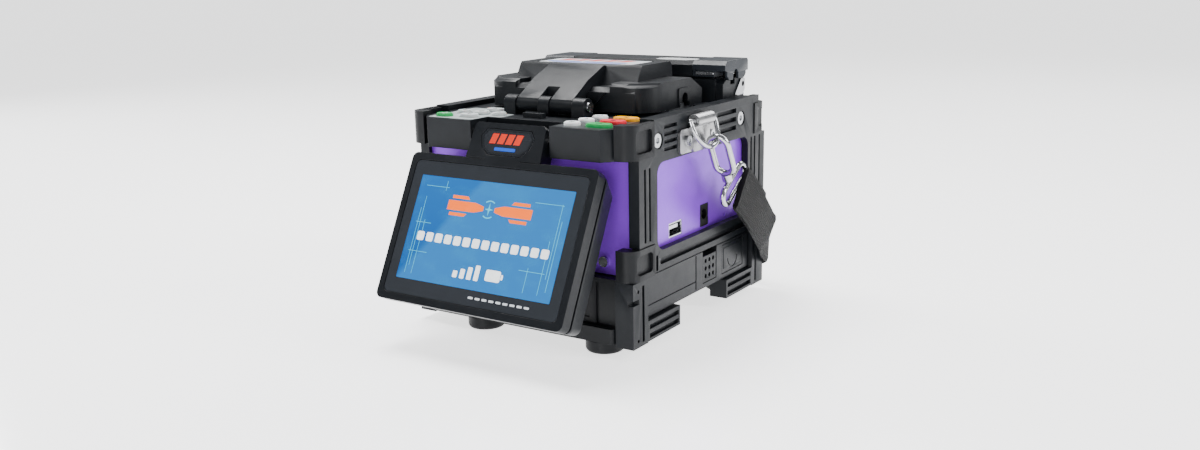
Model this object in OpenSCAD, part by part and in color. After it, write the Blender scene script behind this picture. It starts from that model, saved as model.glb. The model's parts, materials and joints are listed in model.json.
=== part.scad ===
// Fibre fusion splicer: a bench and field machine that joins two optical fibres with an
// electric arc, under a hinged wind cover, with a sleeve heater behind it and a tilting
// screen in front. Origin: on the surface it stands on, in the middle of the machine.
// +Z up, +Y to the back, +X to the right as seen from the screen. Millimetres.

/* [Side guards] */
// Width over the two side guards
body_width = 136.6; // [134:0.2:140]
// Front face of the bumpers and keypad boxes, from the origin
front_y = -54; // [-56:0.5:-53]
// Back face of the rear bumpers, from the origin
back_y = 95; // [93:0.5:98]
// Height of the top of the side guards
rail_top = 114.7; // [114:0.1:117]
// Height of the guards' legs above the surface
foot_height = 5; // [3:0.5:6]
// Corner radius of the guards' windows
window_radius = 6; // [3:0.5:9]
// Depth of the grooves moulded into the guards
groove_depth = 2; // [1:0.1:2.2]
// Height of a corner bumper
bumper_height = 17; // [14:0.5:18]

/* [Top deck] */
// Height of the deck that carries the keypads
deck_top = 112; // [111.5:0.1:112.5]
// Height of the deck's lower edge
deck_under = 96.6; // [96:0.1:98]
// Half the width of the two keypad boxes at the front
keypad_half = 53.4; // [53:0.1:54]
// Half the width of the notch that takes the screen's arm
notch_half = 24.4; // [24.2:0.1:25]

/* [Keys] */
// How far a key stands above the deck
key_rise = 1.6; // [1.2:0.1:2]
// How far a key travels when pressed
key_travel = 0.8; // [0.5:0.1:1]
// Gap between a key and its hole
key_gap = 0.35; // [0.2:0.05:0.5]
// Spacing of the key rows, front to back
row_pitch = 12.3; // [12:0.1:12.5]

/* [Screen] */
// Lean of the screen from upright, bottom forward
screen_tilt = 26.6; // [24:0.1:28]
// Width of the lit area, a 4.3 inch panel
lit_width = 95; // [90:0.5:97]
// Height of the lit area
lit_height = 53.9; // [50:0.1:55]
// Half the width of the screen's housing
housing_half = 57.5; // [57:0.1:58]
// Thickness of the housing from its front face to its back
housing_depth = 18; // [16:0.5:18]

/* [Wind cover] */
// Height of the wind cover's top
cover_top = 136.1; // [135:0.1:138]
// Half the width of the cover's flat top
cover_half = 38.8; // [38:0.1:40]
// Half the width over the cover's two cheeks
cheek_half = 52.5; // [52:0.1:53]
// Thickness of the cover's walls
cover_wall = 2.2; // [1.8:0.1:2.6]

/* [Heater] */
// Half the length of the heater, over its end caps
heater_half = 60.5; // [60:0.1:61]
// Height of the heater's lid
heater_top = 134.6; // [134:0.1:136]

/* [Battery] */
// Length of the battery pack, along the way it slides
battery_length = 114; // [108:1:114]
// Height of the battery pack
battery_height = 20.6; // [19:0.1:20.6]

/* [Carrying strap] */
// Width of the webbing
strap_width = 25; // [20:1:28]
// Thickness of the webbing
strap_thick = 1.6; // [1.2:0.1:2]
// Diameter of the wire in the D rings
ring_wire = 2.6; // [2:0.1:3]

/* [Mounts] */
// Radius of the tripod thread's hole, the tapping size of a quarter inch thread
tripod_radius = 2.6; // [2.5:0.05:2.65]
// Radius of the power socket's barrel
socket_radius = 2.85; // [2.75:0.05:3]

/* [Hidden] */
$fn = 48;
fine = 96;
blend_fn = 32;

half = body_width / 2;
panel_x = half - 4;
sheet = 1;
guard_in = panel_x + 0.1;
skin_out = half - 2.5;
front_panel_y = -41;
back_panel_y = 91;
guard_front = -43.5;
guard_back = 94;
bumper_out = half + 0.6;
bumper_in = 58.9;
bumper_tip = -50.5;
bed_half = 55.1;
bumper_back = -29.5;
rear_bumper_front = 80;
low_bumper = 38;
base_low = 6.5;
bay_roof = 38.1;
top_bumper = rail_top - bumper_height - 0.6;
high_rear_bumper = 93.5;
window_low = 49.2;
window_high = 93.2;
window_front = -26.3;
window_back = 73;
low_rail = 39;
guard_screw_z = 104;
guard_screw_y = [-25, 64.5];
leg_front = -50;
leg_back = -36;
skid_end = -4;
rear_leg = 80;
rear_skid = 48;
foot_spots = [[46.6, -42], [-29, -42], [46.6, 84], [-46.6, 84]];

deck_half = half - 8.6;
deck_back = 90;
deck_skin = 3;
well_half = 51.2;
well_front = 9;
well_back = 49.5;

bay_floor = 16.7;
battery_low = 17;
battery_top = battery_low + battery_height;
battery_face = 66;
battery_front = -32;
battery_back = 78;
bay_gap = 0.4;

fibre_y = 28.4;
fibre_z = 117;

cover_pin = [-21, 117.5];
cover_pin_r = 1.5;
cover_ear = [17.7, 25];
arm_half = 17.2;

screen_mid = [-77.65, 60.2];
housing_high = 38.6;
housing_low = -38.75;
bezel_depth = 6.5;
tab_high = 57.3;
tab_half = [21.8, 23.1];
tab_depth = 9;
screen_pin = [52.5, -5.5];
screen_pin_r = 2.5;

heater_front = 60.5;
heater_back = 88;
lid_low = 126;
heater_pin = [86, 124.4];
heater_pin_r = 1.25;
trough_y = 73;
lid_half = 39.9;
lid_window = [26, 69];

key_top = deck_top + key_rise;
key_low = deck_top - 2;
key_floor = deck_top - 3.2;
front_row = -44.5;
key_row = [front_row, front_row + row_pitch, front_row + 2 * row_pitch];
colour_x = 47;
white_x = 31.5;
pad_x = -34.5;
pad_y = key_row[1];
pad_pitch = 11.5;

bracket_y = 13.3;
bracket_screw = 12.6;
bracket_screw_z = 100.6;
ring_x = half + 3.2;
ring_z = 110.2;
ring_half = 12.4;
ring_drop = 2.4;
ring_lean = 22;
hook_half = 5;
hook_wire = 1.7;
hook_run = 13.2;
hook_lean = 28;
hook_at = [78.3, 24.5, 85];
eye_half = 9.4;
eye_rise = 8.4;
eye_wire = 1.5;
eye_lean = 33;
eye_at = [79, 36.2, 70.2];

// the running fit of a hinge's hole over its pin, on the radius
fit = 0.06;

black = "#23272b";
shade = "#15171a";
purple = "#7a4fd6";
steel = "#c9cbcc";

// ---- shared shapes

// a block between two opposite corners
module block(low, high) {
    translate(low)
        cube([high[0] - low[0], high[1] - low[1], high[2] - low[2]]);
}

module both_sides() {
    children();
    mirror([1, 0, 0]) children();
}

module rounded_rect(w, h, r) {
    square([w - 2 * r, h], center = true);
    square([w, h - 2 * r], center = true);
    for (x = [-1, 1], y = [-1, 1])
        translate([x * (w / 2 - r), y * (h / 2 - r)]) circle(r);
}

// a rounded rectangle between two opposite corners
module rounded_span(low, high, r) {
    translate([(low[0] + high[0]) / 2, (low[1] + high[1]) / 2])
        rounded_rect(high[0] - low[0], high[1] - low[1], r);
}

// a rectangle between two opposite corners
module span(low, high) {
    translate(low) square([high[0] - low[0], high[1] - low[1]]);
}

// a stadium, the outline of a key
module stadium(w, h) {
    square([w - h, h], center = true);
    for (x = [-1, 1])
        translate([x * (w - h) / 2, 0]) circle(h / 2);
}

// an outline in Y and Z, extruded from x0 to x1
module along_x(x0, x1) {
    translate([x0, 0, 0])
        rotate([90, 0, 90])
            linear_extrude(x1 - x0) children();
}

// an outline in X and Z, extruded from y0 to y1
module along_y(y0, y1) {
    translate([0, y1, 0])
        rotate([90, 0, 0])
            linear_extrude(y1 - y0) children();
}

// an outline in X and Y, extruded from z0 to z1
module along_z(z0, z1) {
    translate([0, 0, z0]) linear_extrude(z1 - z0) children();
}

module rod_x(x0, x1, at, r) {
    translate([x0, at[0], at[1]])
        rotate([0, 90, 0]) cylinder(h = x1 - x0, r = r);
}

module rod_y(y0, y1, at, r) {
    translate([at[0], y1, at[1]])
        rotate([90, 0, 0]) cylinder(h = y1 - y0, r = r);
}

// the screen's own frame: X across, Y up its face, Z out of its face
module on_screen() {
    translate([0, screen_mid[0], screen_mid[1]])
        rotate([90 - screen_tilt, 0, 0]) children();
}

// a socket-head screw along X, its head's outer face at x
module screw_x(x, at, r, head_h, length) {
    difference() {
        union() {
            rod_x(x - head_h, x, at, 1.75 * r);
            rod_x(x - length, x - head_h, at, r);
        }
        translate([x - head_h * 0.6, at[0], at[1]])
            rotate([0, 90, 0]) cylinder(h = head_h, r = 0.9 * r, $fn = 6);
    }
}

// ---- chassis

module base_tray() {
    color(shade) difference() {
        union() {
            // front and rear blocks
            block([-57.6, -47, base_low], [57.6, -33, bay_roof]);
            block([-57.6, 79.2, base_low], [57.6, 90, bay_roof]);
            // floor under the battery, roof over it and the closed left wall
            block([-57.6, -33.5, 13.2], [57.6, 80, bay_floor - 0.1]);
            block([-57.6, -40, bay_roof], [57.6, 89.9, 41.5]);
            block([-62.6, -34.5, bay_floor - 0.1], [-49.4, 79.6, 41.5]);
            // shelf in front of the base, with rounded corners
            along_z(base_low, 14.2) rounded_span([-57.6, -52], [57.6, -44], 2);
            // boss for the tripod thread
            translate([0, 22, 10.2]) cylinder(h = 4, r = 8);
        }
        // ribs in the front face
        for (x = [-46, -31, -16, 0, 16, 31, 46])
            block([x - 1, -48, 14.2], [x + 1, -46, 35.5]);
        block([-41, -48, 17], [-36, -46.2, 33]);
        block([36, -48, 17], [41, -46.2, 33]);
        translate([0, 22, 10]) cylinder(h = 6, r = 4.5);
        // recesses for the feet
        for (at = foot_spots)
            translate([at[0], at[1], base_low - 1]) cylinder(h = 2.2, r = 4);
    }
}

// folded edge sheet with its two lower screw holes
module end_panel(y0, y1) {
    difference() {
        block([-panel_x + sheet + 0.1, y0, 41.6], [panel_x - sheet - 0.1, y1, deck_under - 0.1]);
        for (x = [-46.6, 46.6])
            rod_y(y0 - 1, y1 + 1, [x, 45], 1.6);
    }
}

module front_panel() {
    color(purple) union() {
        end_panel(front_panel_y, front_panel_y + sheet);
        // lower apron in front of the base
        block([-57, front_panel_y, 38.6], [57, front_panel_y + 0.9, 41.8]);
    }
}

module rear_panel() {
    color(purple) difference() {
        end_panel(back_panel_y - sheet, back_panel_y);
        // cooling slots
        for (row = [0:5])
            block([-24, back_panel_y - 2, 58 + row * 5], [24, back_panel_y + 1, 60.4 + row * 5]);
    }
}

module side_sheet() {
    along_x(panel_x - sheet, panel_x)
        span([front_panel_y, 41.6], [back_panel_y, deck_under - 0.1]);
}

module side_panel_right() {
    color(purple) difference() {
        side_sheet();
        along_x(panel_x - 3, panel_x + 1) {
            rounded_span([-8.6, 51.4], [5, 59.2], 0.6);
            rounded_span([24.4, 50.4], [33.8, 62.6], 0.6);
            translate([52.4, 52]) circle(0.9);
        }
    }
}

module side_panel_left() {
    color(purple) mirror([1, 0, 0]) side_sheet();
}

// ---- guards and bumpers

module leg_outline(front, back, tip) {
    span([min(front, back), foot_height], [max(front, back), low_bumper + 3]);
    span([min(back, tip), foot_height + 0.5], [max(back, tip), 16]);
}

module guard() {
    difference() {
        union() {
            // frame plate around the window
            along_x(guard_in, half)
                difference() {
                    span([guard_front, low_rail], [guard_back, rail_top]);
                    rounded_span([window_front, window_low], [window_back, window_high], window_radius);
                }
            // top rail's inner part and the front and back flanges
            block([deck_half + 0.4, -29, deck_under + 0.6], [guard_in, 79.8, rail_top]);
            block([62.4, guard_front, low_bumper], [guard_in, -41.2, 96]);
            block([62.4, 91.2, low_bumper], [guard_in, guard_back, 93]);
            // legs with their skids
            along_x(58, half) {
                leg_outline(leg_front, leg_back, skid_end);
                leg_outline(guard_back, rear_leg, rear_skid);
            }
        }
        // seats of the four bumpers
        block([50, -60, low_bumper - 0.1], [half + 1, bumper_back + 0.1, low_bumper + bumper_height - 1]);
        block([50, -60, top_bumper - 0.1], [half + 1, bumper_back + 0.1, rail_top + 1]);
        block([50, rear_bumper_front - 0.1, low_bumper - 0.1],
              [half + 1, back_y + 1, low_bumper + bumper_height - 1]);
        block([50, rear_bumper_front - 0.1, high_rear_bumper - 0.1],
              [half + 1, back_y + 1, high_rear_bumper + bumper_height + 0.1]);
        block([50, guard_back - 8, high_rear_bumper], [half + 1, back_y + 1, rail_top + 1]);
        // upright grooves in the posts
        for (y = [-38, -33.6, 77, 81.5, 87.5])
            block([half - groove_depth, y - 0.8, 56], [half + 1, y + 0.8, 92]);
        // long grooves in the top rail, and short ones in front of its screw
        for (z = [98.6, 103.2, 107.8])
            block([half - groove_depth, 36, z], [half + 1, 58, z + 2.4]);
        for (z = [98, 101.7, 105.4, 109.1])
            block([half - groove_depth, -19.5, z], [half + 1, -7, z + 1.8]);
        // groove and slot in the lower rail
        along_x(half - groove_depth, half + 1) {
            rounded_span([-24, 42], [71, 45.5], 1.5);
            rounded_span([-28, 39.5], [-26, 47.5], 0.9);
        }
        // grooves in the legs and skids
        for (y = [-40.5, 84.5])
            block([half - groove_depth, y - 1, 7], [half + 1, y + 1, 35.5]);
        for (z = [7, 11.5])
            for (y = [[-34.5, -5.5], [49.5, 78.5]])
                block([half - groove_depth, y[0], z], [half + 1, y[1], z + 2.4]);
        block([half - 3, -51, 27], [half + 1, -44.5, 29.6]);
        // screw seats
        for (y = guard_screw_y) {
            rod_x(half - 2.4, half + 1, [y, guard_screw_z], 4.1);
            rod_x(50, half, [y, guard_screw_z], 2.1);
        }
        // holes of the bracket's screws
        for (s = [-1, 1])
            rod_x(60, half + 1, [bracket_y + s * bracket_screw, bracket_screw_z], 1.6);
        // blind holes in the legs
        for (z = [8.4, 33.4])
            rod_x(half - 4, half + 1, [-45.2, z], 0.9);
    }
    // thin walls behind the bumpers, which tie the legs to the frame
    along_x(guard_in, skin_out) {
        span([guard_front, low_bumper - 0.3], [bumper_back + 0.3, low_bumper + bumper_height - 0.7]);
        span([guard_front, top_bumper - 0.3], [bumper_back + 0.3, rail_top - 1]);
        span([rear_bumper_front - 0.3, low_bumper - 0.3],
             [91, low_bumper + bumper_height - 0.7]);
        span([rear_bumper_front - 0.3, high_rear_bumper - 0.3],
             [91, high_rear_bumper + bumper_height - 1]);
    }
}

module guard_right() {
    color(black) guard();
}

module guard_left() {
    color(black) mirror([1, 0, 0]) guard();
}

// a bumper's outline from above, well rounded at its free outer corner
module bumper_outline(y_tip, y_end) {
    s = y_end > y_tip ? 1 : -1;
    difference() {
        span([bumper_in, min(y_tip, y_end)], [bumper_out, max(y_tip, y_end)]);
        translate([bumper_out - 7, y_tip + s * 7])
            difference() {
                translate([0, s > 0 ? -8 : 0]) square(8);
                circle(7);
            }
    }
}

// a rubber corner block: y_tip is its free face and y_end where it meets the rail
module bumper(y_tip, y_end, wall_y, z, h) {
    low = min(y_tip, y_end);
    high = max(y_tip, y_end);
    difference() {
        along_z(z, z + h) bumper_outline(y_tip, y_end);
        // seat for the guard's thin wall
        block([bumper_in - 1, min(wall_y, y_end) - (y_end < wall_y ? 1 : 0), z - 1],
              [skin_out + 0.1, max(wall_y, y_end) + (y_end > wall_y ? 1 : 0), z + h + 1]);
        // rounded recess in its side
        along_x(bumper_out - 1.6, bumper_out + 1)
            rounded_span([low + 4.4, z + 3], [high - 2.4, z + h - 3], 2.4);
    }
}

module corner_bumpers() {
    color(shade) both_sides() {
        bumper(bumper_tip, bumper_back, guard_front - 0.2, low_bumper, bumper_height - 1.2);
        bumper(bumper_tip, bumper_back, guard_front - 0.2, top_bumper, bumper_height);
        bumper(back_y, rear_bumper_front, 91.1, low_bumper, bumper_height - 1.2);
        bumper(back_y, rear_bumper_front, 91.1, high_rear_bumper, bumper_height);
    }
}

module guard_screws() {
    color(steel) both_sides()
        for (y = guard_screw_y)
            screw_x(half - 0.5, [y, guard_screw_z], 2, 1.9, 10);
}

module panel_screws() {
    color(steel) {
        for (x = [-46.6, 46.6]) {
            // front and rear panel screws
            translate([x, 0, 45]) {
                rod_y(front_panel_y - 1.7, front_panel_y, [0, 0], 2.7);
                rod_y(front_panel_y, front_panel_y + 6, [0, 0], 1.5);
                rod_y(back_panel_y, back_panel_y + 1.7, [0, 0], 2.7);
                rod_y(back_panel_y - 6, back_panel_y, [0, 0], 1.5);
            }
        }
        // bracket screws
        both_sides()
            for (y = [-1, 1])
                screw_x(half + 3, [bracket_y + y * bracket_screw, bracket_screw_z], 1.55, 1.6, 8);
    }
}

module feet() {
    color(shade)
        for (at = foot_spots)
            translate([at[0], at[1], 0]) {
                cylinder(h = 1.2, r1 = 9, r2 = 9.8);
                translate([0, 0, 1.2]) cylinder(h = base_low - 1.2, r = 9.8);
                translate([0, 0, base_low]) cylinder(h = 1, r = 3.9);
            }
}

module tripod_insert() {
    color("#b99b54") translate([0, 22, 10.2]) difference() {
        union() {
            cylinder(h = 5.6, r = 4.4);
            translate([0, 0, -0.8]) cylinder(h = 0.8, r = 6);
        }
        translate([0, 0, -1]) cylinder(h = 7, r = tripod_radius);
    }
}

// ---- deck and keypads

module deck_outline() {
    polygon([
        [-keypad_half, front_y], [keypad_half, front_y],
        [bumper_in - 0.3, front_y + 5.8], [bumper_in - 0.3, -29.3],
        [deck_half, -29.3], [deck_half, deck_back],
        [-deck_half, deck_back], [-deck_half, -29.3],
        [-bumper_in + 0.3, -29.3], [-bumper_in + 0.3, front_y + 5.8]
    ]);
}

module hinge_ear(x0, x1) {
    along_x(x0, x1) {
        translate(cover_pin) circle(4.4);
        span([cover_pin[0] - 4.4, deck_top - 1], [cover_pin[0] + 4.4, cover_pin[1]]);
    }
}

module deck_cover() {
    color(black) difference() {
        union() {
            along_z(deck_under, deck_top) deck_outline();
            // ears and centre knuckle of the cover's hinge
            both_sides() hinge_ear(cover_ear[0], cover_ear[1]);
            hinge_ear(-3.4, 3.4);
            block([-6, -34.4, deck_top - 1], [6, -31, deck_top + 2.6]);
            // kerbs beside the cheeks
            both_sides()
                block([53.8, 36, deck_top - 1], [deck_half, 50, deck_top + 1.6]);
        }
        // notch for the screen's arm
        block([-notch_half, front_y - 1, deck_under - 1], [notch_half, -39.8, deck_top + 1]);
        // hollow underside
        block([-52, -36.5, deck_under - 1], [52, 86, deck_top - 4]);
        both_sides()
            block([31.5, front_y + deck_skin, deck_under - 1], [52, -36.4, deck_top - 4]);
        // well of the splice chamber
        block([-well_half, well_front, deck_under - 2], [well_half, well_back, deck_top + 3]);
        // keypad beds, and the space below the keys
        along_z(deck_top - 0.8, deck_top + 1) keypad_bed(0);
        along_z(key_floor, deck_top) key_space();
        // screen and cover hinge bores
        rod_x(-30.5, 30.5, screen_pin_at(), screen_pin_r);
        rod_x(-26, 26, cover_pin, cover_pin_r);
        // side screw holes
        both_sides()
            for (y = guard_screw_y)
                rod_x(half - 12, half, [y, guard_screw_z], 2.05);
    }
}

function screen_pin_at() = [
    screen_mid[0] + screen_pin[0] * sin(screen_tilt) - screen_pin[1] * cos(screen_tilt),
    screen_mid[1] + screen_pin[0] * cos(screen_tilt) + screen_pin[1] * sin(screen_tilt)
];

// the bed of the sheets; the left one reaches round the pad's inner key
module keypad_bed(gap) {
    both_sides()
        rounded_span([25.7 + gap, front_y + 2 + gap], [bed_half - gap, -13 - gap], 2 - gap);
    rounded_span([-32, -38.4 + gap], [-17 - gap, -26 - gap], 2 - gap);
}

// the space below the sheets, which leaves them a ledge to rest on
module key_space() {
    both_sides()
        rounded_span([26.8, front_y + 3.6], [bed_half - 0.7, -14.4], 1);
    rounded_span([-32, -37.2], [-18.2, -27.2], 1);
}

// where each key stands, and its length and width
KEYS = [
    ["key_power", [-48, key_row[0] - 1.5], [9.6, 6.4]],
    ["key_up", [pad_x, pad_y + pad_pitch], [11, 6.6]],
    ["key_down", [pad_x + 1, pad_y - pad_pitch], [11, 6.6]],
    ["key_left", [pad_x - pad_pitch, pad_y], [7.6, 7.4]],
    ["key_right", [pad_x + pad_pitch, pad_y], [7.6, 7.4]],
    ["key_enter", [pad_x, pad_y], [8.4, 8.2]],
    ["key_menu", [white_x, key_row[0]], [8.4, 6.6]],
    ["key_back", [white_x, key_row[1]], [8.4, 6.6]],
    ["key_reset", [white_x, key_row[2]], [8.4, 6.6]],
    ["key_arc", [colour_x, key_row[0]], [14, 7.8]],
    ["key_stop", [colour_x, key_row[1]], [14, 7.8]],
    ["key_heat", [colour_x, key_row[2]], [14, 7.8]]
];

module keypad_sheets() {
    color("#a9adaf") difference() {
        along_z(deck_top - 0.8, deck_top) keypad_bed(0.25);
        for (key = KEYS)
            along_z(deck_top - 2, deck_top + 1)
                translate(key[1])
                    stadium(key[2][0] + 2 * key_gap, key[2][1] + 2 * key_gap);
    }
}

module key(index, colour) {
    spot = KEYS[index][1];
    size = KEYS[index][2];
    color(colour) translate(spot) {
        along_z(key_low, key_top - 0.5) stadium(size[0], size[1]);
        along_z(key_top - 0.5, key_top) stadium(size[0] - 0.9, size[1] - 0.9);
    }
}

module key_power() { key(0, "#12a04a"); }
module key_up() { key(1, "#d5dad8"); }
module key_down() { key(2, "#d5dad8"); }
module key_left() { key(3, "#d5dad8"); }
module key_right() { key(4, "#d5dad8"); }
module key_enter() { key(5, "#d5dad8"); }
module key_menu() { key(6, "#eef0f0"); }
module key_back() { key(7, "#eef0f0"); }
module key_reset() { key(8, "#eef0f0"); }
module key_arc() { key(9, "#12a04a"); }
module key_stop() { key(10, "#e5303f"); }
module key_heat() { key(11, "#f7b500"); }

// ---- inside the chassis

module main_board() {
    color("#1f5a37") {
        block([-54, -34, 46], [50, 80, 47.6]);
        // stand-offs under the board, and its largest chips
        for (x = [-50, 46], y = [-30, 76])
            translate([x, y, 41.6]) cylinder(h = 4.4, r = 3);
        block([-20, -10, 47.6], [4, 14, 49.6]);
        block([18, -8, 47.6], [34, 8, 49.2]);
    }
}

module arc_transformer() {
    color("#8a6a2c") {
        block([-44, 54, 47.7], [-12, 78, 66]);
        rod_x(-40, -16, [66, 70], 9);
    }
}

module align_motors() {
    color("#8d9094") both_sides() {
        rod_x(30, 52, [28.4, 76], 9);
        rod_x(22, 30, [28.4, 76], 2);
        block([28, 17, 84], [52, 39.8, 91.9]);
    }
}

module camera_barrels() {
    color(shade)
        for (s = [-1, 1])
            translate([0, fibre_y + s * 9, 62]) {
                cylinder(h = 26, r = 6.5);
                translate([0, 0, -6]) cylinder(h = 6.2, r = 8);
            }
}

module usb_socket() {
    color(steel) difference() {
        block([panel_x - 14.2, -8.4, 51.6], [panel_x - 0.2, 4.8, 59]);
        block([panel_x - 12, -8, 52.2], [panel_x, 4.4, 58.4]);
    }
    color("#f0efe8")
        block([panel_x - 12.2, -6.6, 55.4], [panel_x - 1.4, 3, 57.2]);
}

module power_socket() {
    color(shade) difference() {
        block([panel_x - 14, 24.6, 50.6], [panel_x - 0.1, 33.6, 62.4]);
        rod_x(panel_x - 9.6, panel_x + 1, [29.1, 57], socket_radius);
    }
    // centre contact
    color(steel) rod_x(panel_x - 11, panel_x - 1.5, [29.1, 57], 0.95);
}

// ---- splice chamber

module splice_block() {
    color("#9aa0a6") difference() {
        union() {
            block([-24, 12, 92], [24, 46.5, 110]);
            // stages that carry the sheath clamps
            both_sides() {
                block([24, 13, 92], [50, 45, 108]);
                block([39, 17, 108], [50, 40, 115.4]);
                // hinge blocks behind the clamps
                block([39, 40.6, 108], [41.4, 45.6, 117.4]);
                block([47.6, 40.6, 108], [50, 45.6, 117.4]);
            }
        }
        // arc gap and the two lens openings
        block([-6, 20, 98], [6, 37, 111]);
        for (s = [-1, 1])
            translate([0, fibre_y + s * 9, 91]) cylinder(h = 8, r = 4);
        // sheath groove
        along_x(-51, 51) translate([fibre_y, fibre_z]) circle(1.9, $fn = 24);
        both_sides() rod_x(38, 51, [43.4, 115.2], 0.8);
    }
}

module v_grooves() {
    color("#f2f0ea") both_sides() difference() {
        block([6.8, fibre_y - 4, 110.1], [15, fibre_y + 4, fibre_z + 0.3]);
        translate([0, fibre_y, fibre_z + 0.4]) rotate([45, 0, 0])
            block([6, -0.35, -0.35], [16, 0.35, 0.35]);
    }
}

module electrodes() {
    color("#b4b6ba")
        for (s = [-1, 1])
            translate([0, fibre_y, fibre_z]) rotate([0, 0, s < 0 ? 180 : 0]) {
                rod_y(3.4, 12.2, [0, 0], 1);
                translate([0, 3.41, 0]) rotate([90, 0, 0])
                    cylinder(h = 2.2, r1 = 1, r2 = 0.15);
            }
}

module electrode_clamps() {
    color("#2d3035")
        for (s = [-1, 1])
            translate([0, fibre_y, 0]) rotate([0, 0, s < 0 ? 180 : 0])
                difference() {
                    block([-5, 7.6, 110.2], [5, 12.4, fibre_z + 3]);
                    rod_y(7, 13, [0, fibre_z], 1);
                }
}

// a clamp arm that holds the fibre's sheath down on its stage
module sheath_clamp() {
    difference() {
        union() {
            block([41.7, 17.4, 115.8], [47.3, 45, 118.2]);
            rod_x(41.7, 47.3, [43.4, 115.2], 2.4);
            block([39.4, 18, 116], [49.6, 38, 120]);
        }
        rod_x(38, 51, [43.4, 115.2], 0.8 + fit);
        along_x(38, 51) translate([fibre_y, fibre_z - 1.4]) circle(1.6, $fn = 24);
    }
}

module sheath_clamp_right() {
    color("#3a3e44") sheath_clamp();
}

module sheath_clamp_left() {
    color("#3a3e44") mirror([1, 0, 0]) sheath_clamp();
}

// steel pins of the screen, the wind cover, the heater lid and the sheath clamps
module hinge_pins() {
    color(steel) {
        rod_x(-30, 30, screen_pin_at(), screen_pin_r);
        rod_x(-25.6, 25.6, cover_pin, cover_pin_r);
        rod_x(25, 26.6, cover_pin, 2.6);
        rod_x(-57.5, 57.5, heater_pin, heater_pin_r);
        both_sides() rod_x(39, 50, [43.4, 115.2], 0.8);
    }
}

// ---- sleeve heater

module heater_base() {
    color(black) difference() {
        union() {
            along_x(-54, 54)
                polygon([[heater_front, deck_top], [heater_front, 124.6], [62.5, 125.4],
                         [82.6, 125.4], [82.6, deck_top]]);
            // end brackets, one at each side of the lid
            both_sides() along_x(54, 58.4)
                polygon([[heater_front + 1, deck_top], [heater_front + 1, 122], [66, 124.8],
                         [80, 124.8], [heater_back - 1, 127.6], [heater_back - 1, deck_top]]);
        }
        // bed of the heating plate
        block([-50.4, trough_y - 6.2, 119], [50.4, trough_y + 6.2, 126]);
        // way in for the fibre at both ends
        block([-60, trough_y - 2.6, 121.4], [60, trough_y + 2.6, 128]);
        rod_x(-60, 60, heater_pin, heater_pin_r);
    }
}

module heater_plate() {
    color("#b7bbbf") difference() {
        block([-50, trough_y - 6, 119.2], [50, trough_y + 6, 125.2]);
        block([-51, trough_y - 2.5, 121.2], [51, trough_y + 2.5, 126]);
    }
}

module lid_profile() {
    polygon([[heater_front, lid_low], [heater_front, heater_top - 2.4],
             [heater_front + 2, heater_top], [heater_back - 3, heater_top],
             [heater_back, heater_top - 3], [heater_back, lid_low]]);
}

// room for the sleeve and its cooling air, through the lid into its end caps
module lid_hollow() {
    block([-48, heater_front + 2.4, lid_low - 1], [48, 82, heater_top - 2.2]);
}

module heater_lid() {
    color(black) difference() {
        union() {
            along_x(-lid_half, lid_half) lid_profile();
            // hinge knuckles
            for (x = [-30, 30])
                along_x(x - 8, x + 8) {
                    translate(heater_pin) circle(2.6);
                    span([83.6, heater_pin[1]], [heater_back - 0.1, lid_low + 0.5]);
                }
        }
        lid_hollow();
        // seat of the window, and the opening under it
        along_z(heater_top - 1, heater_top + 1)
            translate(lid_window) stadium(26.4, 12.4);
        along_z(heater_top - 3, heater_top + 1)
            translate(lid_window) stadium(23, 9);
        rod_x(-60, 60, heater_pin, heater_pin_r + fit);
    }
}

module heater_window() {
    color("#e9edf0", 0.6) along_z(heater_top - 1, heater_top - 0.1)
        translate(lid_window) stadium(26, 12);
}

// caps that close the heater's ends
module heater_caps() {
    color("#3a4047") both_sides() difference() {
        union() {
            along_x(lid_half + 0.2, 53.4) lid_profile();
            along_x(lid_half + 0.2, heater_half)
                polygon([[heater_front - 0.6, 129.6], [heater_front - 0.6, heater_top - 2],
                         [heater_front + 2, heater_top + 0.2],
                         [heater_back - 1, heater_top + 0.2], [heater_back, heater_top - 1],
                         [heater_back, 128], [heater_front + 6, 128]]);
        }
        lid_hollow();
        along_x(47, heater_half + 1)
            translate([trough_y, 127.6]) circle(2.2, $fn = 24);
    }
}

// ---- wind cover

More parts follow.
